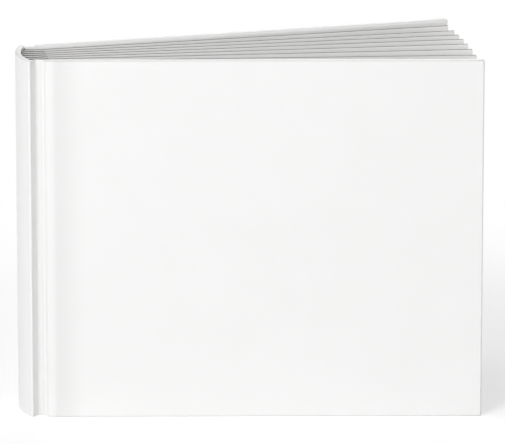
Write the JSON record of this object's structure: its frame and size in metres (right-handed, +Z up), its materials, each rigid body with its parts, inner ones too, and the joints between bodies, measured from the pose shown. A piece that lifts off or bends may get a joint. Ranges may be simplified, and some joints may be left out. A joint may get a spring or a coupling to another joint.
{
  "type": "open book",
  "caption": "Blank landscape hardcover book standing on its tail edges, rounded spine, grooved joints, covers ajar over fanned card leaves.",
  "frame": {"origin": "middle of the standing footprint, on the surface that the tail edges rest on", "axes": "+X from the rounded spine to the fore-edge, +Y from the front cover to the back cover, +Z up to the head"},
  "size_m": [0.257, 0.118, 0.206],
  "materials": {
    "cover_paper": "matt laminated",
    "greyboard": "pressed pulp",
    "endpaper": "uncoated",
    "leaf_card": "uncoated, cut edges",
    "lining_cloth": "open weave, glued"
  },
  "bodies": {
    "spine": {"spine_board": "greyboard", "spine_wrap": "cover_paper", "spine_lining": "lining_cloth", "page_block": "leaf_card"},
    "front_cover": {"front_board": "greyboard", "front_wrap": "cover_paper", "front_pastedown": "endpaper"},
    "back_cover": {"back_board": "greyboard", "back_wrap": "cover_paper", "back_pastedown": "endpaper"}
  },
  "joints": [
    {"name": "front_cover_hinge", "type": "hinge", "parent": "spine", "child": "front_cover", "pos_m": [-0.11867, -0.0172, 0], "axis": [0, 0, -1], "range_deg": [-3, 81.5]},
    {"name": "back_cover_hinge", "type": "hinge", "parent": "spine", "child": "back_cover", "pos_m": [-0.11867, 0.0172, 0], "axis": [0, 0, 1], "range_deg": [-1.5, 81.5]}
  ]
}
